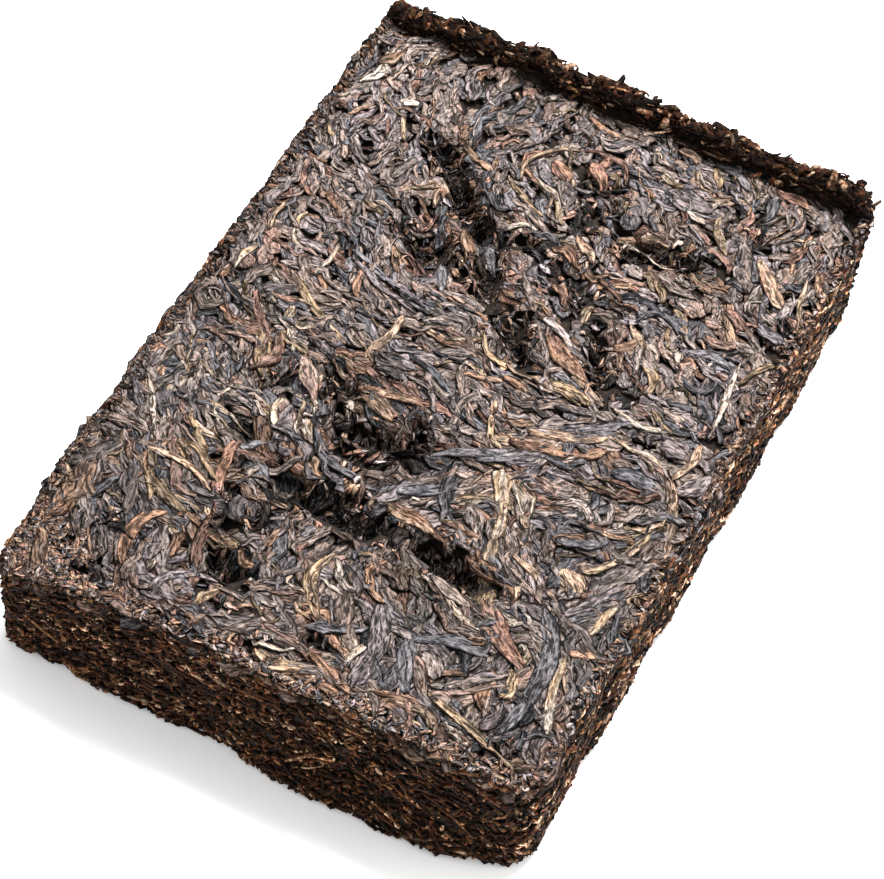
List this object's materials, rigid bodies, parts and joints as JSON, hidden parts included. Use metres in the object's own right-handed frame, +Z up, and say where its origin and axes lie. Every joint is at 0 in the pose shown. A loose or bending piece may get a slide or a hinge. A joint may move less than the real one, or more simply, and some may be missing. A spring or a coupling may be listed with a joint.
{
  "type": "pressed pu erh tea brick",
  "caption": "Rectangular brick of pressed dark tea leaves and twigs, with hollows in its top face and a ragged rim along a short edge.",
  "frame": {"origin": "middle of the flat base", "axes": "+Z up out of the pressed top face, +Y along the long side towards the ragged rim, +X along the short side to the right as seen from the front"},
  "size_m": [0.091, 0.14, 0.0295],
  "materials": {
    "tea_leaf": "dry pressed tea leaf, dark brown with grey, olive and orange-brown leaves, slightly glossy"
  },
  "bodies": {
    "root": {"tea_brick": "tea_leaf"}
  },
  "joints": []
}
